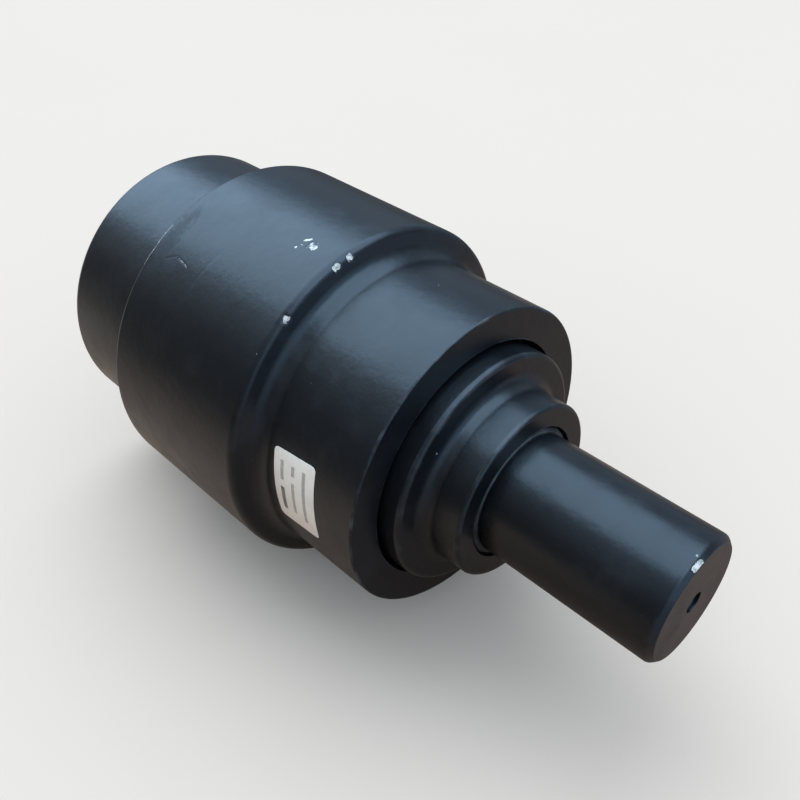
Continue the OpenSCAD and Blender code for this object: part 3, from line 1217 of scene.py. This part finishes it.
# The floor as the camera sees it, and as the paint reflects it: near, with a painted shadow under the
# shaft and painted bluish light in front of it, a painted pool of light past the cover, and darker far
# away. The places where they meet are in metres.
FLOOR_PALE = ((0.80, 0.80, 0.795), (0.82, 0.82, 0.815))
FLOOR_NEAR = (0.54, 0.46, 0.41)
# Painted shadow: the floor as the paint reflects it, darker under and beside the shaft where the roller
# shades it
FLOOR_SHADOW_UNDER_SHAFT = (0.28, 0.235, 0.21)
# Painted bluish light: the floor in front of the shaft, as the paint reflects it, tinted by the window's
# light
FLOOR_WINDOW_LIGHT_IN_FRONT = (0.28, 0.36, 0.50)
# Painted pool of light: the floor past the cover, as the paint reflects it, brighter where light falls on
# it
FLOOR_LIGHT_PAST_COVER = (0.66, 0.62, 0.58)
FLOOR_FAR = (0.09, 0.088, 0.085)


def make_floor():
    """A plain pale floor. In reflections it is as dim and warm as a workshop's floor, with a painted
    shadow under the shaft, painted bluish light in front of it, a painted pool of light past the cover,
    and darker far away.
    """
    mesh = bmesh.new()
    bmesh.ops.create_grid(mesh, x_segments=8, y_segments=8, size=6)
    for vert in mesh.verts:
        vert.co.z = cad_box[0].z
    floor = finish_mesh("floor", mesh)
    material, graph = new_material("pale_floor")
    seen = graph.add("LightPath").outputs["Is Camera Ray"]
    where = graph.add("TexCoord").outputs["Object"]
    along = graph.add("SeparateXYZ", {"Vector": where}).outputs["Y"]
    distance = graph.add("VectorMath", {0: where}, operation="LENGTH").outputs["Value"]
    heading = graph.add("VectorMath", {0: where}, operation="NORMALIZE").outputs["Vector"]
    heading_along = graph.add("SeparateXYZ", {"Vector": heading}).outputs["Y"]
    # A painted pool of light on the floor straight beyond the cover, in reflections
    lit_past_cover = graph.fade(heading_along, -0.80, -0.93)
    lit_past_cover = graph.math("MULTIPLY", lit_past_cover, graph.fade(along, -0.28, -0.38))
    # Painted shadow under the shaft in reflections, then darker far away
    below = graph.mix(graph.fade(along, -0.12, 0.03), FLOOR_NEAR, FLOOR_SHADOW_UNDER_SHAFT)
    below = graph.mix(graph.fade(distance, 0.2, 0.7), below, FLOOR_FAR)
    below = graph.mix(lit_past_cover, below, FLOOR_LIGHT_PAST_COVER)
    # Painted bluish light on the floor in front of the shaft, in reflections
    below = graph.mix(graph.fade(along, 0.10, 0.24), below, FLOOR_WINDOW_LIGHT_IN_FRONT)
    colour = graph.mix(seen, below, graph.mix(graph.noise(where, 3, 3), *FLOOR_PALE))
    shade(graph, {"Base Color": colour, "Roughness": 0.9, "Specular IOR Level": 0.1})
    coat(floor, material)
    return floor


# What the paint reflects of the room, with the directions of its window and its open side
ROOM_LOW = (0.11, 0.115, 0.125)
ROOM_HIGH = (0.36, 0.46, 0.58)
WINDOW = (0.62, 1.00, 1.48)
WINDOW_DIRECTION = Vector((0.0, 0.95, 0.30)).normalized()
OPEN_SIDE = (0.30, 0.39, 0.50)
OPEN_SIDE_DIRECTION = Vector((-0.85, -0.25, 0.46)).normalized()
ROOM_DIFFUSE = (0.74, 0.74, 0.73)
BACKDROP = (0.868, 0.868, 0.866)


def make_world():
    """Dim room light, cooler overhead and towards one window, with a pale backdrop."""
    world = bpy.data.worlds.new("studio")
    bpy.context.scene.world = world
    world.use_nodes = True
    graph = Graph(world.node_tree)
    ray = graph.add("LightPath").outputs
    towards = graph.add("TexCoord").outputs["Generated"]
    up = graph.add("SeparateXYZ", {"Vector": towards}).outputs["Z"]

    def facing(direction):
        inputs = {0: towards, 1: direction}
        return graph.add("VectorMath", inputs, operation="DOT_PRODUCT").outputs["Value"]

    room = graph.mix(graph.fade(up, 0.0, 0.9), ROOM_LOW, ROOM_HIGH)
    room = graph.mix(graph.fade(facing(WINDOW_DIRECTION), 0.70, 0.98), room, WINDOW)
    room = graph.mix(graph.fade(facing(OPEN_SIDE_DIRECTION), 0.55, 0.95), room, OPEN_SIDE)
    colour = graph.mix(ray["Is Diffuse Ray"], room, ROOM_DIFFUSE)
    colour = graph.mix(ray["Is Camera Ray"], colour, BACKDROP)
    background = graph.add("Background", {"Color": colour, "Strength": 1.0})
    graph.add("OutputWorld", {"Surface": background.outputs["Background"]})


def soft_panel(direction, distance_m, width_m, length_m, radiance, colour):
    """A soft flat light that faces the roller from a direction, its length along the axis."""
    data = bpy.data.lights.new("soft_panel", "AREA")
    data.shape = "RECTANGLE"
    data.size = width_m
    data.size_y = length_m
    data.energy = radiance * math.pi * width_m * length_m
    data.color = colour
    lamp = bpy.data.objects.new("soft_panel", data)
    towards = Vector(direction).normalized()
    lamp.location = Vector((0, flange_mid * MM, 0)) + towards * distance_m
    lamp.rotation_mode = "QUATERNION"
    lamp.rotation_quaternion = towards.to_track_quat("Z", "Y")
    lamp.visible_camera = False
    bpy.context.scene.collection.objects.link(lamp)
    return lamp


def floor_light(direction, strength, spread):
    """A wide even light for the floor."""
    data = bpy.data.lights.new("floor_light", "SUN")
    data.energy = strength
    data.color = (1.0, 0.98, 0.95)
    data.angle = math.radians(spread)
    lamp = bpy.data.objects.new("floor_light", data)
    lamp.rotation_mode = "QUATERNION"
    lamp.rotation_quaternion = Vector(direction).normalized().to_track_quat("Z", "Y")
    bpy.context.scene.collection.objects.link(lamp)
    return lamp


def light_only(lamp, objects, state):
    """Makes a lamp light only these objects, or all but these."""
    group = bpy.data.collections.new(lamp.name + "_receivers")
    for item in objects:
        group.objects.link(item)
    for entry in group.collection_objects:
        entry.light_linking.link_state = state
    lamp.light_linking.receiver_collection = group


floor = make_floor()
make_world()
overhead = soft_panel(
    direction=(0, 0, 1), distance_m=1.2, width_m=1.68, length_m=5.3,
    radiance=3.5, colour=(0.475, 0.745, 1.04),
)
overhead.location += Vector((-0.30, -0.7, 0))
overhead.rotation_quaternion = Quaternion((0, 0, 1), math.radians(5))
behind = soft_panel(
    direction=(0.08, -0.79, 0.61), distance_m=1.8, width_m=2.0, length_m=1.6,
    radiance=0.30, colour=(0.85, 0.94, 1.0),
)
for lamp in (overhead, behind):
    light_only(lamp, [floor], "EXCLUDE")
light_only(floor_light(direction=(-0.2, -0.5, 1.0), strength=1.25, spread=60), [floor], "INCLUDE")

FOCAL_LENGTH = 39.957
SENSOR_WIDTH = 36
CAMERA_PLACE_M = (0.19727, 0.13206, 0.23649)
CAMERA_BACKWARDS = Vector((0.54672, 0.54487, 0.63579))     # opposite to where it looks


def make_camera():
    """The photographer's place, up close, beside the shaft's end and above it."""
    data = bpy.data.cameras.new("camera")
    data.lens = FOCAL_LENGTH
    data.sensor_width = SENSOR_WIDTH
    camera = bpy.data.objects.new("camera", data)
    camera.location = CAMERA_PLACE_M
    camera.rotation_mode = "QUATERNION"
    camera.rotation_quaternion = CAMERA_BACKWARDS.to_track_quat("Z", "Y")
    data.clip_start = 0.01
    bpy.context.scene.collection.objects.link(camera)
    bpy.context.scene.camera = camera


make_camera()
bpy.context.scene.view_settings.view_transform = "Standard"
